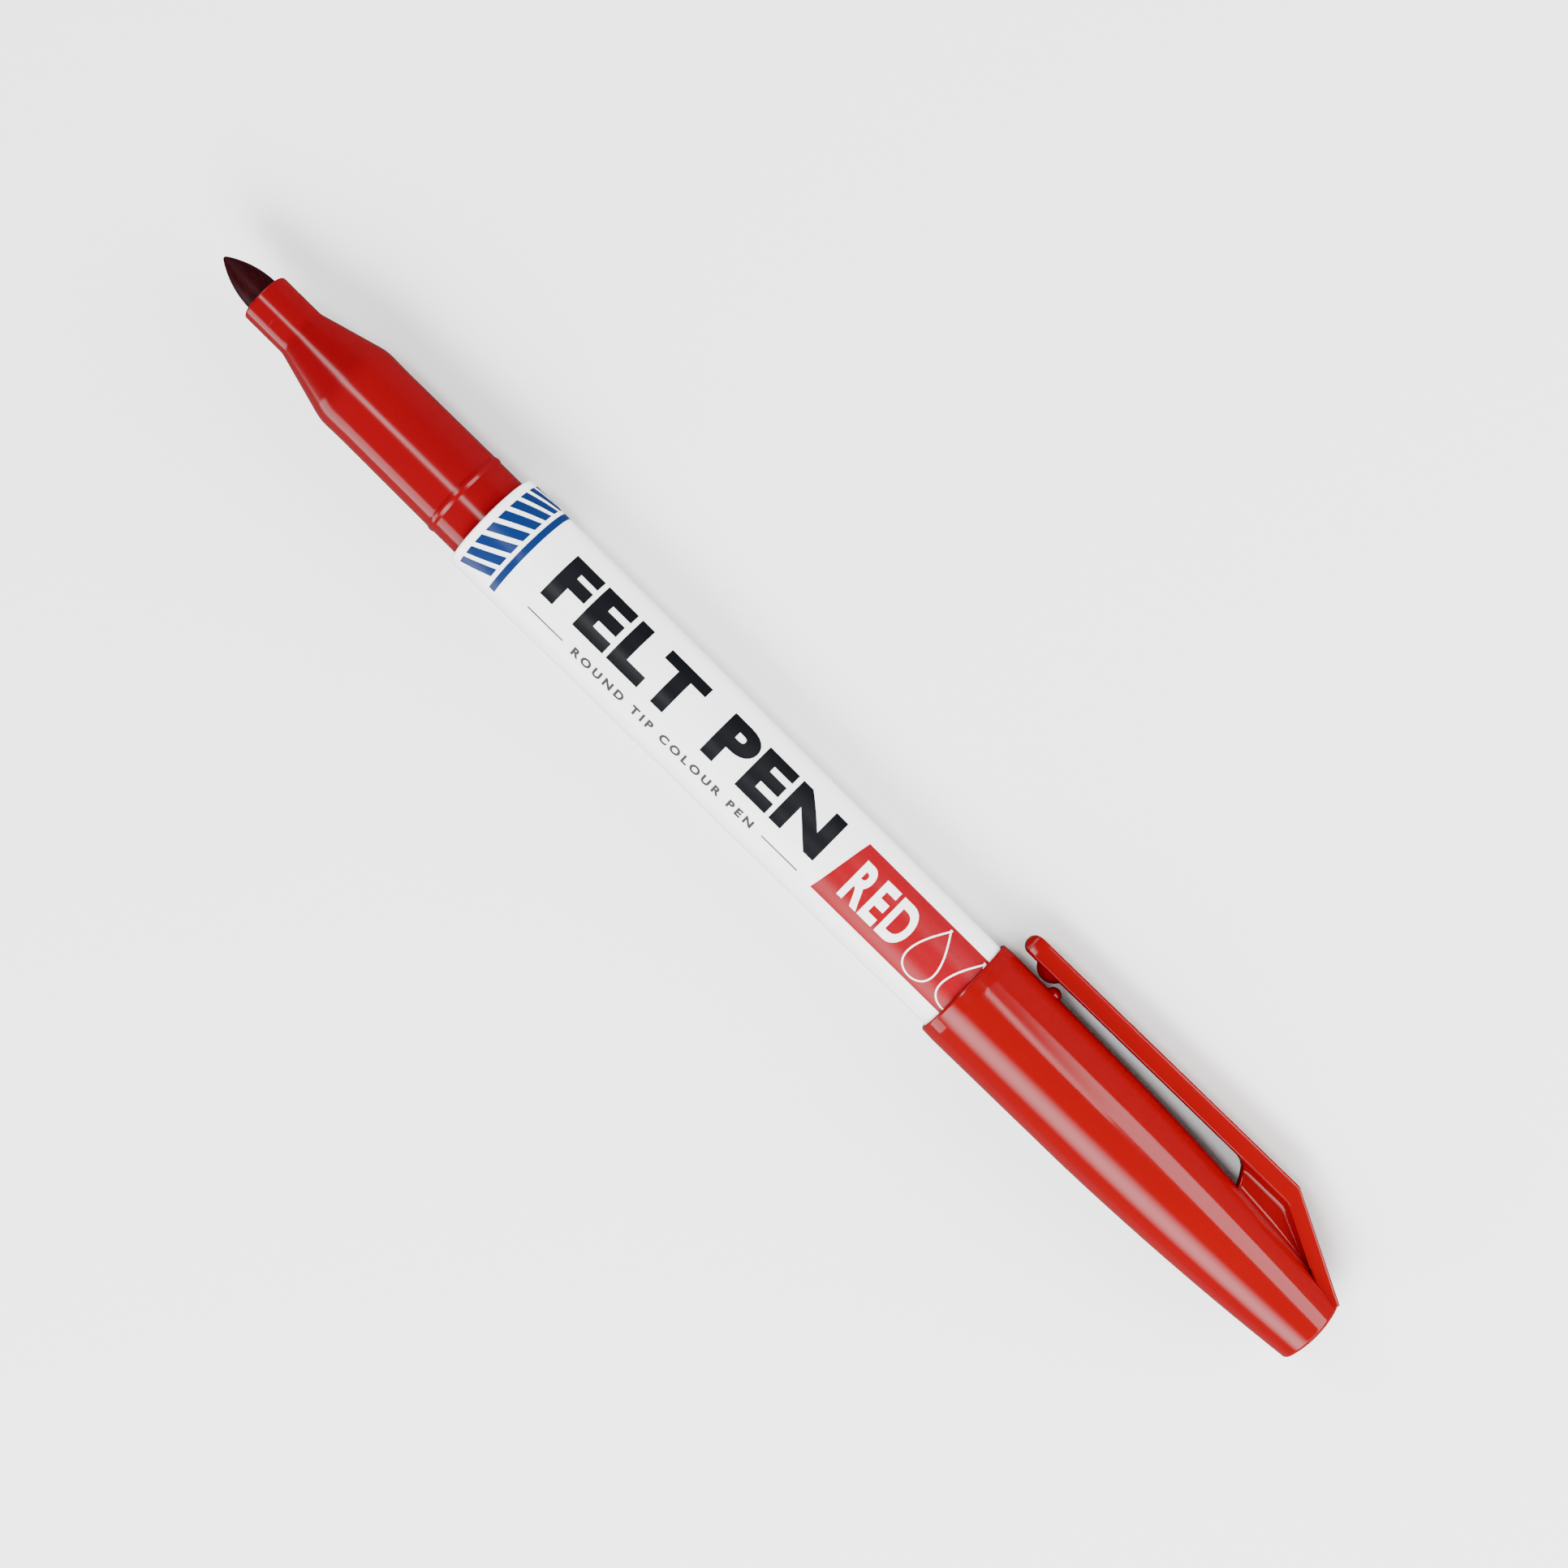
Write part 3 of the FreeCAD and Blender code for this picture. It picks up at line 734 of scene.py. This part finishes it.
# A rounded bar carried along the clip: a round tip, the arm, the elbow and the slanted foot. Each station
# lies between a point of the outer line and one of the inner line.
def makeClip():
    s = clipSpec
    tip = np.array([mouthX + s["tipFromMouth"], s["tipHeight"]])
    elbow = np.array([mouthX + elbowDepth, elbowHeight])
    foot = np.array([mouthX + sideDepth, capSpec["endRadius"]])
    armRun = (elbow - tip) / np.linalg.norm(elbow - tip)
    slantRun = (foot - elbow) / np.linalg.norm(foot - elbow)
    armDown = np.array([armRun[1], -armRun[0]])
    slantDown = np.array([slantRun[1], -slantRun[0]])
    innerStart = tip + armDown * s["thickness"]
    innerSlant = elbow + slantDown * s["flangeThickness"]
    cross = np.linalg.solve(np.stack([armRun, -slantRun], axis=1), innerSlant - innerStart)
    innerElbow = innerStart + armRun * cross[0]
    innerFoot = foot + slantDown * s["flangeThickness"]
    outerArc = tangentArc(tip, elbow, foot, s["elbowRound"], math.radians(3))
    innerArc = tangentArc(innerStart, innerElbow, innerFoot, s["innerRound"], math.radians(3))
    innerArc = innerArc[np.round(np.linspace(0, len(innerArc) - 1, len(outerArc))).astype(int)]
    nose = s["thickness"] / 2
    quarter = np.linspace(0.12, 1, 9) * math.pi / 2
    noseReach = nose * (1 - np.cos(quarter))
    armLength = np.linalg.norm(outerArc[0] - tip)
    armReach = np.linspace(nose, armLength, 60)[1:-1]
    reach = np.concatenate([noseReach, armReach])[:, None]
    outerArm = tip + armRun * reach
    innerArm = innerStart + armRun * reach
    innerEnd = innerArc[0]
    slide = (innerEnd - innerStart) @ armRun - armLength
    innerArm = innerArm + armRun * slide * np.clip((reach - nose) / (armLength - nose), 0, 1)
    steps = np.linspace(0, 1, 26)[1:, None]
    outerSlant = outerArc[-1] + (foot - outerArc[-1]) * steps
    innerSlantLine = innerArc[-1] + (innerFoot - innerArc[-1]) * steps
    outer = np.vstack([outerArm, outerArc, outerSlant])
    inner = np.vstack([innerArm, innerArc, innerSlantLine])
    middle = (outer + inner) / 2
    up = (outer - inner) / np.linalg.norm(outer - inner, axis=1)[:, None]
    halfThickness = np.linalg.norm(outer - inner, axis=1) / 2
    halfWidth = np.full(len(outer), s["halfWidth"])
    halfThickness[:len(quarter)] = nose * np.sin(quarter)
    fromTip = np.concatenate([noseReach, armReach])
    shortfall = np.clip(s["tipPlanRound"] - fromTip, 0, None)
    planRound = s["tipPlanRound"] - np.sqrt(s["tipPlanRound"]**2 - shortfall**2)
    halfWidth[:len(fromTip)] -= planRound
    rounding = np.minimum(s["edgeRound"], 0.9 * np.minimum(halfThickness, halfWidth))
    a, b = roundedSection(halfThickness, halfWidth, rounding)
    grid = np.stack([
        middle[:, :1] + up[:, :1] * a,
        middle[:, 1:] + up[:, 1:] * a,
        b,
    ], axis=-1)
    piece = gridPiece("clipArm", grid, poles=(True, True), sharpAngle=60)
    finishPiece(piece, None, materials["capRed"], "cap_red", "pocket_clip")
    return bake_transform(piece)


makeClip()
print("clip made")


# Web between clip and cap, and the two stops of the pocket grip
webSpec = {
    "halfWidth": 1.0,
    "topDepth": 31.26,
    "slant": 1.3,
    "topRound": 0.7,
    "footFlare": (0.35, 0.3),
    "topFlare": (1.2, 0.87),
    "edgeRound": 0.22,
    "bury": 0.45,
    "searchLength": 8.0,
    "closedGap": 0.05,
    "flareSteps": (0.0, 0.08, 0.2, 0.4, 0.7, 1.0),
    "roundSteps": (0.08, 0.3, 0.6, 1.0),
    "behindEdge": (0.6, 1.2, 1.8),
}


# Height of the clip's inner face over the axis at a depth from the mouth.
def clipUnderside(depth):
    s = clipSpec
    armSlope = s["rise"] / (elbowDepth - s["tipFromMouth"])
    arm = s["tipHeight"] + (depth - s["tipFromMouth"]) * armSlope - s["thickness"]
    slantSlope = (capSpec["endRadius"] - elbowHeight) / (sideDepth - elbowDepth)
    drop = s["flangeThickness"] * math.hypot(1, slantSlope)
    slanted = elbowHeight + (depth - elbowDepth) * slantSlope - drop
    return np.minimum(arm, slanted)


# A sheet folded round its front edge: rows run from the tube up to the clip, columns from the rear on one
# face round the front edge to the rear on the other. It widens along a quarter ellipse at both ends.
def makeWeb():
    s = webSpec
    depths = np.linspace(sideDepth - s["searchLength"], sideDepth, 400)
    gap = clipUnderside(depths) - capOuter(depths)
    rear = float(depths[np.argmax(gap < s["closedGap"])])
    steps = np.array(s["flareSteps"])
    (footHeight, footWidth), (topHeight, topWidth) = s["footFlare"], s["topFlare"]
    total = float(clipUnderside(s["topDepth"])) - float(capOuter(s["topDepth"] + s["slant"]))
    middle = np.linspace(footHeight, total - topHeight, 8)[1:-1]
    heights = np.concatenate([[0.0], footHeight * steps, middle, total - topHeight * steps[::-1], [total]])
    height = heights[:, None]
    share = height / total
    fromTop = np.clip(s["topRound"] - (total - height), 0, None)
    roundIn = s["topRound"] - np.sqrt(np.clip(s["topRound"]**2 - fromTop**2, 0, None))
    front = s["topDepth"] + s["slant"] * (1 - share) - roundIn
    *near, rearFrom = s["behindEdge"]
    run = np.concatenate([[0.0], s["edgeRound"] * np.array(s["roundSteps"]), near])
    spread = np.linspace(rearFrom, (rear - front)[:, 0], 22, axis=1)
    toRear = np.hstack([np.tile(run, (len(heights), 1)), spread])
    depth = front + toRear
    low, high = capOuter(depth), clipUnderside(depth)
    low[0] -= s["bury"]
    high[-1] += s["bury"]
    y = low + (high - low) * share
    foot = np.clip(1 - height / footHeight, 0, None)
    top = np.clip(1 - (total - height) / topHeight, 0, None)
    footPart = footWidth * (1 - np.sqrt(1 - foot**2))
    topPart = topWidth * (1 - np.sqrt(1 - top**2))
    half = s["halfWidth"] + footPart + topPart
    lead = np.clip(s["edgeRound"] - toRear, 0, None)
    z = half - s["edgeRound"] + np.sqrt(s["edgeRound"]**2 - lead**2)
    side = np.stack([mouthX + depth, y, z], axis=-1)
    grid = np.hstack([side[:, ::-1], side * [1, 1, -1]])
    piece = gridPiece("clipWeb", grid, poles=(True, True))
    return finishPiece(piece, "cap", materials["capRed"], "cap_red")


# A ball whose upper half is only as high as top: rings round the clip direction, closed at both ends.
def ballPiece(name, centre, radius, top, body):
    lean = np.linspace(0, math.pi, 26)[1:-1, None]
    turn = np.linspace(0, 2 * math.pi, 48, endpoint=False)
    height = np.where(np.cos(lean) > 0, top, radius) * np.cos(lean)
    grid = np.stack([
        centre[0] + radius * np.sin(lean) * np.cos(turn),
        centre[1] + height * np.ones(48),
        centre[2] + radius * np.sin(lean) * np.sin(turn),
    ], axis=-1)
    piece = gridPiece(name, grid, poles=(True, True))
    return finishPiece(piece, body, materials["capRed"], "cap_red")


# A half-sunk ball on the cap, and a flatter ball under the clip that stands a gap above the cap.
def makeStops():
    s = clipSpec
    ballHeight = float(capOuter(s["ballFromMouth"])) + s["ballGap"] + s["ballRadius"]
    ballPiece("clipBall", (mouthX + s["ballFromMouth"], ballHeight, 0), s["ballRadius"], s["ballTop"], "clip")
    nubBase = float(capOuter(s["nubFromMouth"])) + s["nubHeight"] - s["nubRadius"]
    ballPiece("capNub", (mouthX + s["nubFromMouth"], nubBase, 0), s["nubRadius"], s["nubRadius"], "cap")


makeWeb()
makeStops()
print("web and stops made")


# Print on the barrel
# Angles are in degrees round the axis from the view towards the clip; lengths are millimetres.
printSpec = {
    "lift": 0.006,
    "overprintLift": 0.01,
    "thickness": 0.016,
    "slice": 3.0,
    "stripes": {"x": (0.95, 4.3), "turn": (-52, 150), "pitch": 17.0, "fill": 0.66, "slant": 9.0},
    "bar": {"x": (4.75, 5.48), "turn": (-57, 150)},
    "title": {"words": "FELT PEN", "x": (8.9, 45.6), "turn": (-16.6, 39.5), "heavy": 0.05, "spacing": 1.12},
    "note": {"words": "ROUND TIP COLOUR PEN", "x": (14.9, 39.1), "turn": (-42.2, -31.6), "heavy": 0.045,
             "spacing": 1.5},
    "rules": {"x": ((8.9, 13.6), (40.4, 45.2)), "turn": (-38.1, -36.6)},
    "panel": {"x": (48.4, 66.7), "turn": (-39.8, 41.5), "slant": 1.25},
    "colour": {"words": "RED", "x": (49.4, 57.2), "turn": (-23.4, 25.2), "heavy": 0.035, "spacing": 1.14},
    "drops": {"x": (57.8, 62.3), "turn": (-34.0, 37.0), "width": 4.1, "line": 0.17, "pointing": 1.4,
              "swell": 1.25, "middle": 60.0},
}


# A flat shape (x, turn) rolled on to the barrel: sliced across the turn, thickened outwards and placed
# at (x, R sin turn, R cos turn), R being the barrel's radius plus the lift and the height in the print.
# Its faces go round counterclockwise in (x, turn), which makes the thickened shape face outwards.
def wrapFlat(name, flat, faces, material, lift):
    flat = np.array(flat)
    mesh = bpy.data.meshes.new(name)
    mesh.from_pydata(np.hstack([flat, np.zeros((len(flat), 1))]).tolist(), [], faces)
    work = bmesh.new()
    work.from_mesh(mesh)
    bmesh.ops.remove_doubles(work, verts=work.verts, dist=1e-5)
    low, high = flat[:, 1].min(), flat[:, 1].max()
    step = printSpec["slice"]
    for cut in np.arange(math.ceil(low / step) * step, high, step):
        bmesh.ops.bisect_plane(work, geom=work.verts[:] + work.edges[:] + work.faces[:], dist=1e-6,
                               plane_co=(0, cut, 0), plane_no=(0, 1, 0))
    made = bmesh.ops.extrude_face_region(work, geom=work.faces[:], use_keep_orig=True)
    outer = [item for item in made["geom"] if isinstance(item, bmesh.types.BMVert)]
    bmesh.ops.translate(work, verts=outer, vec=(0, 0, printSpec["thickness"]))
    work.to_mesh(mesh)
    work.free()
    points = np.zeros(len(mesh.vertices) * 3)
    mesh.vertices.foreach_get("co", points)
    x, turn, height = points.reshape(-1, 3).T
    radius = barrelRadius(x) + lift + height
    angle = np.radians(turn)
    wrapped = toScene(np.stack([x, radius * np.sin(angle), radius * np.cos(angle)], axis=-1))
    mesh.vertices.foreach_set("co", wrapped.ravel())
    mesh.update()
    piece = bpy.data.objects.new(name, mesh)
    bpy.context.scene.collection.objects.link(piece)
    return finishPiece(piece, "pen", material, None)


# Words as a flat mesh, stretched to fill their box of x and turn.
def makeWords(name, spec, material, lift):
    data = bpy.data.curves.new(name + "Curve", "FONT")
    data.body = spec["words"]
    data.offset = spec["heavy"]
    data.space_character = spec["spacing"]
    data.resolution_u = 6
    words = bpy.data.objects.new(name + "Curve", data)
    bpy.context.scene.collection.objects.link(words)
    bpy.context.view_layer.update()
    mesh = bpy.data.meshes.new_from_object(words)
    bpy.data.objects.remove(words)
    flat = np.zeros(len(mesh.vertices) * 3)
    mesh.vertices.foreach_get("co", flat)
    flat = flat.reshape(-1, 3)[:, :2]
    share = (flat - flat.min(axis=0)) / np.ptp(flat, axis=0)
    low, high = np.array([spec["x"], spec["turn"]]).T
    flat = low + share * (high - low)
    faces = [list(face.vertices) for face in mesh.polygons]
    bpy.data.meshes.remove(mesh)
    return wrapFlat(name, flat, faces, material, lift)


# The corners of four-sided shapes in one list, and each shape's four numbers.
def quadsFlat(quads):
    flat = [corner for quad in quads for corner in quad]
    faces = [[4 * k, 4 * k + 1, 4 * k + 2, 4 * k + 3] for k in range(len(quads))]
    return flat, faces


# Slanted stripes, one at each pitch round the barrel, that fill a share of it.
def makeStripes():
    s = printSpec["stripes"]
    quads = []
    for turn in np.arange(s["turn"][0], s["turn"][1], s["pitch"]):
        top = turn + s["pitch"] * s["fill"]
        quads.append([(s["x"][0], turn - s["slant"]), (s["x"][1], turn + s["slant"]),
                      (s["x"][1], top + s["slant"]), (s["x"][0], top - s["slant"])])
    flat, faces = quadsFlat(quads)
    wrapFlat("printStripes", flat, faces, materials["inkBlue"], printSpec["lift"])


# One straight band behind the stripes.
def makeBar():
    s = printSpec["bar"]
    (x0, x1), (t0, t1) = s["x"], s["turn"]
    flat, faces = quadsFlat([[(x0, t0), (x1, t0), (x1, t1), (x0, t1)]])
    wrapFlat("printBar", flat, faces, materials["inkBlue"], printSpec["lift"])


# Two thin lines along the barrel, level with each other.
def makeRules():
    s = printSpec["rules"]
    t0, t1 = s["turn"]
    flat, faces = quadsFlat([[(x0, t0), (x1, t0), (x1, t1), (x0, t1)] for x0, x1 in s["x"]])
    wrapFlat("printRules", flat, faces, materials["inkGrey"], printSpec["lift"])


# A rectangle whose front edge leans forward by the slant at its lower end.
def makePanel():
    s = printSpec["panel"]
    (x0, x1), (t0, t1) = s["x"], s["turn"]
    flat, faces = quadsFlat([[(x0 - s["slant"], t0), (x1, t0), (x1, t1), (x0, t1)]])
    wrapFlat("printPanel", flat, faces, materials["inkRed"], printSpec["lift"])


# Outlined drops: sin a times a power of sin(a/2) across, cos a along the turn, with an even line.
def makeDrops():
    s = printSpec["drops"]
    low, high = s["turn"]
    step = math.radians(1) * float(barrelRadius(s["middle"]))
    height = (high - low) * step
    a = np.linspace(0, 2 * math.pi, 72, endpoint=False)
    across = s["width"] / 2 * np.sin(a) * np.abs(np.sin(a / 2))**s["pointing"] * s["swell"]
    along = height / 2 * np.cos(a)
    edge = np.stack([across, along], axis=-1)
    tangent = np.roll(edge, -1, axis=0) - np.roll(edge, 1, axis=0)
    tangent = tangent / np.linalg.norm(tangent, axis=1)[:, None]
    inward = np.stack([-tangent[:, 1], tangent[:, 0]], axis=-1)
    inward = inward * np.sign(-(inward * edge).sum(axis=1).mean())
    inner = edge + inward * s["line"]
    ring = np.stack([edge, inner], axis=1).reshape(-1, 2) / [1, step]
    here = 2 * np.arange(len(edge))
    after = np.roll(here, -1)
    quads = np.stack([here, here + 1, after + 1, after], axis=-1)
    flat = np.vstack([ring + [x + s["width"] / 2, (low + high) / 2] for x in s["x"]])
    faces = np.vstack([quads + k * len(ring) for k in range(len(s["x"]))]).tolist()
    wrapFlat("printDrops", flat, faces, materials["inkWhite"], printSpec["overprintLift"])


makeStripes()
makeBar()
makeWords("printTitle", printSpec["title"], materials["inkDark"], printSpec["lift"])
makeWords("printNote", printSpec["note"], materials["inkGrey"], printSpec["lift"])
makeRules()
makePanel()
makeWords("printColour", printSpec["colour"], materials["inkWhite"], printSpec["overprintLift"])
makeDrops()
print("print made")


# Camera, floor and light
cameraSpec = {
    "distance": 361.0,
    "foot": (44.9, 1.81),
    "aim": (38.38, 1.81),
    "roll": 44.64,
    "lens": 85.2,
}


# The camera faces the clip's plane; the axis runs down to the right at the roll angle.
def makeCamera():
    s = cameraSpec
    place = toScene([[s["foot"][0], s["foot"][1], 0]])[0] + penView * s["distance"] * millimetre
    aim = toScene([[s["aim"][0], s["aim"][1], 0]])[0]
    backward = (place - aim) / np.linalg.norm(place - aim)
    roll = math.radians(s["roll"])
    upward = -math.sin(roll) * penAlong + math.cos(roll) * penClip
    right = np.cross(upward, backward)
    right = right / np.linalg.norm(right)
    upward = np.cross(backward, right)
    data = bpy.data.cameras.new("camera")
    data.lens = s["lens"]
    data.sensor_width = 36.0
    data.clip_start = 0.01
    data.clip_end = 20.0
    camera = bpy.data.objects.new("camera", data)
    matrix = np.eye(4)
    matrix[:3, :3] = np.stack([right, upward, backward], axis=1)
    matrix[:3, 3] = place
    camera.matrix_world = Matrix(matrix.tolist())
    bpy.context.scene.collection.objects.link(camera)
    bpy.context.scene.camera = camera


# Half the floor's side in metres, its shade, and the painted dark shade that it shows only in the glossy
# pieces' reflections.
floorSpec = {"halfSide": 0.48, "shade": 0.82, "paintedReflectionShade": 0.06, "roughness": 0.9, "gloss": 0.1}


# One square, level with the pen's underside.
def makeFloor():
    mesh = bpy.data.meshes.new("floor")
    side = floorSpec["halfSide"]
    corners = [(-side, -side, 0), (side, -side, 0), (side, side, 0), (-side, side, 0)]
    mesh.from_pydata(corners, [], [(0, 1, 2, 3)])
    floor = bpy.data.objects.new("floor", mesh)
    material = bpy.data.materials.new("floorPale")
    material.use_nodes = True
    tree = material.node_tree
    shader = tree.nodes["Principled BSDF"]
    # Painted reflection: for glossy rays the floor turns nearly black, which paints dark shade along the
    # glossy pieces' edges.
    shade = tree.nodes.new("ShaderNodeMix")
    shade.data_type = "RGBA"
    shade.inputs["A"].default_value = (*[floorSpec["shade"]] * 3, 1)
    shade.inputs["B"].default_value = (*[floorSpec["paintedReflectionShade"]] * 3, 1)
    ray = tree.nodes.new("ShaderNodeLightPath")
    tree.links.new(ray.outputs["Is Glossy Ray"], shade.inputs["Factor"])
    tree.links.new(shade.outputs["Result"], shader.inputs["Base Color"])
    shader.inputs["Roughness"].default_value = floorSpec["roughness"]
    shader.inputs["Specular IOR Level"].default_value = floorSpec["gloss"]
    mesh.materials.append(material)
    bpy.context.scene.collection.objects.link(floor)


# The even light from all round, and how bright the backdrop behind the floor looks to the eye.
worldSpec = {"fill": 0.24, "backdrop": 2.7}

lightAim = 55.0  # how far along the pen all the soft boxes aim, in millimetres
softBoxGain = 1.9  # makes up for the light that a soft edge takes away

# Each soft box: its turn round the axis from the view (towards the clip is positive), its lean
# along the axis and its roll, all in degrees, its distance and size in metres, and its power in watts.
lightSpec = {
    "clipSideBox": {"turn": 40, "lean": 33, "roll": 4, "distance": 0.6, "size": (0.556, 0.38), "power": 9.18},
    "clipSideTongue": {"turn": 24, "lean": 6.6, "roll": 20, "distance": 0.6, "size": (0.036, 0.2),
                       "power": 0.41},
    "farSideBox": {"turn": -58, "lean": 26, "roll": 0, "distance": 0.6, "size": (0.66, 0.64), "power": 14.18,
                   "softEdge": True},
    "neckStrip": {"turn": -10, "lean": -26, "roll": 0, "distance": 0.8, "size": (0.65, 0.24), "power": 5.67,
                  "softEdge": True},
    "neckBox": {"turn": -98, "lean": -16, "roll": 0, "distance": 0.6, "size": (0.4, 0.3), "power": 2.97},
    "capEndBox": {"turn": 20, "lean": 68, "roll": 0, "distance": 1.0, "size": (0.4, 0.9), "power": 5.4},
    "nibEndBox": {"turn": 20, "lean": -68, "roll": 0, "distance": 1.0, "size": (0.4, 0.9), "power": 5.4},
}


# Strength falls softly to nothing at the long edges: the gain times (1 - (2v - 1)^2)^2, v across the box.
def softenEdge(data):
    data.use_nodes = True
    tree = data.node_tree
    place = tree.nodes.new("ShaderNodeNewGeometry")
    parts = tree.nodes.new("ShaderNodeSeparateXYZ")
    tree.links.new(place.outputs["Parametric"], parts.inputs["Vector"])
    offset = mathNode(tree, "SUBTRACT", mathNode(tree, "MULTIPLY", parts.outputs["Y"], 2.0), 1.0)
    fall = mathNode(tree, "SUBTRACT", 1.0, mathNode(tree, "MULTIPLY", offset, offset))
    strength = mathNode(tree, "MULTIPLY", mathNode(tree, "MULTIPLY", fall, fall), softBoxGain)
    tree.links.new(strength, tree.nodes["Emission"].inputs["Strength"])


# The soft boxes: each stands off the aim along its own direction and faces it. Its length lies along the
# pen before its roll.
def makeLights():
    for name, s in lightSpec.items():
        turn, lean = math.radians(s["turn"]), math.radians(s["lean"])
        outward = math.cos(turn) * penView + math.sin(turn) * penClip
        away = math.cos(lean) * outward + math.sin(lean) * penAlong
        aim = toScene([[lightAim, 0, 0]])[0]
        data = bpy.data.lights.new(name, "AREA")
        data.shape = "RECTANGLE"
        data.size, data.size_y = s["size"]
        data.energy = s["power"]
        if s.get("softEdge"):
            softenEdge(data)
        light = bpy.data.objects.new(name, data)
        along = penAlong - away * (penAlong @ away)
        along = along / np.linalg.norm(along)
        across = np.cross(away, along)
        roll = math.radians(s["roll"])
        along, across = (math.cos(roll) * along + math.sin(roll) * across,
                         math.cos(roll) * across - math.sin(roll) * along)
        matrix = np.eye(4)
        matrix[:3, :3] = np.stack([along, across, away], axis=1)
        matrix[:3, 3] = aim + away * s["distance"]
        light.matrix_world = Matrix(matrix.tolist())
        bpy.context.scene.collection.objects.link(light)


# Even light; only the camera sees the brighter backdrop.
def makeWorld():
    world = bpy.data.worlds.new("studio")
    world.use_nodes = True
    tree = world.node_tree
    background = tree.nodes["Background"]
    background.inputs["Color"].default_value = (1, 1, 1, 1)
    level = tree.nodes.new("ShaderNodeMapRange")
    for label, value in {"To Min": worldSpec["fill"], "To Max": worldSpec["backdrop"]}.items():
        level.inputs[label].default_value = value
    ray = tree.nodes.new("ShaderNodeLightPath")
    tree.links.new(ray.outputs["Is Camera Ray"], level.inputs["Value"])
    tree.links.new(level.outputs["Result"], background.inputs["Strength"])
    bpy.context.scene.world = world


makeCamera()
makeFloor()
makeLights()
makeWorld()
print("camera, floor and light made")
